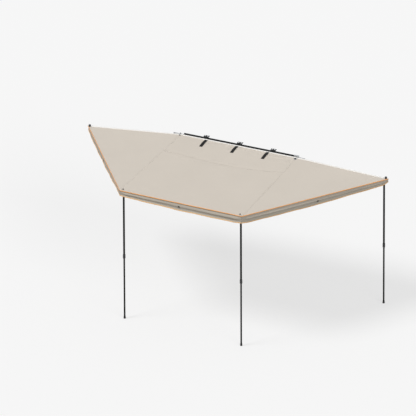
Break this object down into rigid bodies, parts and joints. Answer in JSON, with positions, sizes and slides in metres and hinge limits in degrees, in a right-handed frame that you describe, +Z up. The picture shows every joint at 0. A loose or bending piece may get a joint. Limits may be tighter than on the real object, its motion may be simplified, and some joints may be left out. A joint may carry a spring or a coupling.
{
  "type": "vehicle side awning",
  "caption": "Open fabric side awning on a roof rack: wide middle panel between two triangular end panels, hinged arms, telescopic legs.",
  "frame": {"origin": "centre of the middle rack bracket's back face, where the base bears on the roof rack", "axes": "+X along the vehicle to its rear, +Y towards the vehicle, out of the bracket's back face, +Z up"},
  "size_m": [5.2672, 2.4255, 2.4082],
  "materials": {
    "rail": "black anodised aluminium, satin",
    "arm": "satin anodised extrusion",
    "leg": "black powder coat, satin",
    "casting": "tumbled cast aluminium",
    "steel": "zinc plated",
    "moulding": "black glass filled nylon",
    "rubber": "black rubber",
    "canvas": "tan polyester and cotton canvas, fine weave",
    "valance": "darker tan canvas strip with orange binding",
    "webbing": "black polypropylene webbing"
  },
  "bodies": {
    "base": {"base_rail": "rail", "canvas_track": "rail", "base_upstand": "rail", "front_knuckle": "casting", "front_knuckle_pin": "steel", "rear_knuckle": "casting", "rear_knuckle_pin": "steel", "canvas_middle": "canvas", "valance_side": "valance", "strap_1": "webbing", "strap_2": "webbing", "strap_3": "webbing", "bracket_front": "rail", "bracket_front_bolt_1": "steel", "bracket_front_bolt_2": "steel", "bracket_middle": "rail", "bracket_middle_bolt_1": "steel", "bracket_middle_bolt_2": "steel", "bracket_rear": "rail", "bracket_rear_bolt_1": "steel", "bracket_rear_bolt_2": "steel"},
    "front_arm": {"front_arm_heel": "moulding", "front_arm_tube": "arm", "front_arm_cap": "moulding", "front_arm_fork_pin": "steel", "canvas_front": "canvas", "valance_front": "valance", "front_leg_fork": "moulding", "front_leg_pin": "steel"},
    "middle_arm": {"middle_arm_heel": "moulding", "middle_arm_tube": "arm", "middle_arm_cap": "moulding", "middle_arm_fork_pin": "steel", "canvas_rear": "canvas", "valance_rear": "valance", "middle_leg_fork": "moulding", "middle_leg_pin": "steel"},
    "front_end_arm": {"front_end_arm_heel": "moulding", "front_end_arm_tube": "arm", "front_end_arm_cap": "moulding"},
    "rear_end_arm": {"rear_end_arm_heel": "moulding", "rear_end_arm_tube": "arm", "rear_end_arm_cap": "moulding", "rear_leg_fork": "moulding", "rear_leg_pin": "steel"},
    "front_leg_upper": {"front_leg_head": "moulding", "front_leg_outer_tube": "leg"},
    "front_leg_lock": {"front_leg_collar": "moulding"},
    "front_leg_lower": {"front_leg_inner_tube": "leg", "front_leg_foot": "rubber"},
    "middle_leg_upper": {"middle_leg_head": "moulding", "middle_leg_outer_tube": "leg"},
    "middle_leg_lock": {"middle_leg_collar": "moulding"},
    "middle_leg_lower": {"middle_leg_inner_tube": "leg", "middle_leg_foot": "rubber"},
    "rear_leg_upper": {"rear_leg_head": "moulding", "rear_leg_outer_tube": "leg"},
    "rear_leg_lock": {"rear_leg_collar": "moulding"},
    "rear_leg_lower": {"rear_leg_inner_tube": "leg", "rear_leg_foot": "rubber"}
  },
  "joints": [
    {"name": "front_arm_swing", "type": "hinge", "parent": "base", "child": "front_arm", "pos_m": [-1.17, -0.152, -0.072], "axis": [0, 0, 1], "range_deg": [0, 86.5], "deforming": ["canvas_middle", "valance_side", "strap_1", "strap_2", "strap_3"]},
    {"name": "middle_arm_swing", "type": "hinge", "parent": "base", "child": "middle_arm", "pos_m": [1.17, -0.056, 0.004], "axis": [0, 0, -1], "range_deg": [0, 86.5]},
    {"name": "front_end_fold", "type": "hinge", "parent": "front_arm", "child": "front_end_arm", "pos_m": [-1.218, -0.152, -0.072], "axis": [0, 0, 1], "range_deg": [0, 94.7], "deforming": ["canvas_front", "valance_front"]},
    {"name": "rear_end_fold", "type": "hinge", "parent": "middle_arm", "child": "rear_end_arm", "pos_m": [1.218, -0.056, 0.004], "axis": [0, 0, -1], "range_deg": [0, 91.9], "deforming": ["canvas_rear", "valance_rear"]},
    {"name": "front_leg_fold", "type": "hinge", "parent": "front_arm", "child": "front_leg_upper", "pos_m": [-1.04666, -2.22606, 0.01511], "axis": [0.9982, 0.0594, 0], "range_deg": [0, 86.3]},
    {"name": "front_leg_slide", "type": "slide", "parent": "front_leg_upper", "child": "front_leg_lower", "axis": [0, 0, 1], "range_m": [0, 0.9]},
    {"name": "front_leg_twist", "type": "hinge", "parent": "front_leg_upper", "child": "front_leg_lock", "pos_m": [-1.04666, -2.22606, 0.01511], "axis": [0, 0, 1], "range_deg": [0, 90]},
    {"name": "middle_leg_fold", "type": "hinge", "parent": "middle_arm", "child": "middle_leg_upper", "pos_m": [1.04658, -2.32097, 0.05176], "axis": [0.9985, -0.0544, 0], "range_deg": [0, 87.6]},
    {"name": "middle_leg_slide", "type": "slide", "parent": "middle_leg_upper", "child": "middle_leg_lower", "axis": [0, 0, 1], "range_m": [0, 0.9]},
    {"name": "middle_leg_twist", "type": "hinge", "parent": "middle_leg_upper", "child": "middle_leg_lock", "pos_m": [1.04658, -2.32097, 0.05176], "axis": [0, 0, 1], "range_deg": [0, 90]},
    {"name": "rear_leg_fold", "type": "hinge", "parent": "rear_end_arm", "child": "rear_leg_upper", "pos_m": [2.5713, -0.08211, -0.05862], "axis": [0.0193, 0.9998, 0], "range_deg": [0, 90]},
    {"name": "rear_leg_slide", "type": "slide", "parent": "rear_leg_upper", "child": "rear_leg_lower", "axis": [0, 0, 1], "range_m": [0, 0.9]},
    {"name": "rear_leg_twist", "type": "hinge", "parent": "rear_leg_upper", "child": "rear_leg_lock", "pos_m": [2.5713, -0.08211, -0.05862], "axis": [0, 0, 1], "range_deg": [0, 90]}
  ],
  "couplings": [
    {"joint": "middle_arm_swing", "follows": "front_arm_swing", "ratio": 1}
  ]
}
